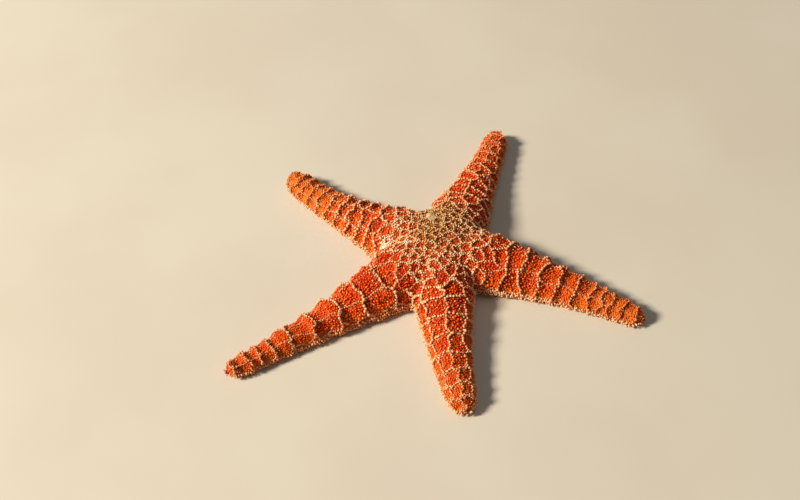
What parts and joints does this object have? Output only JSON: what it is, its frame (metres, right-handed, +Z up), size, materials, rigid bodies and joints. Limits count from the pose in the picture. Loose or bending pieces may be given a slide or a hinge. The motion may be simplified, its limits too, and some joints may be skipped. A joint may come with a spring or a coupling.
{
  "type": "starfish",
  "caption": "Five-armed sea star lying flat on its underside, with tapering domed arms, furrowed soles, a sieve plate and a mouth below.",
  "frame": {"origin": "on the floor, under the middle of the whole star's box", "axes": "+Z up from the floor through the star's back; +Y away from the viewer; +X to the viewer's right"},
  "size_m": [0.1948, 0.1768, 0.0225],
  "materials": {
    "skin": "rough orange skin set with pale limy spines",
    "madreporite": "matt pale limy plate, finely grooved",
    "mouth": "soft pale membrane",
    "eyespot": "small dark smooth spot"
  },
  "bodies": {
    "root": {"disc": "skin", "arm_1": "skin", "arm_2": "skin", "arm_3": "skin", "arm_4": "skin", "arm_5": "skin", "madreporite": "madreporite", "mouth": "mouth", "eyespot_1": "eyespot", "eyespot_2": "eyespot", "eyespot_3": "eyespot", "eyespot_4": "eyespot", "eyespot_5": "eyespot"}
  },
  "joints": []
}
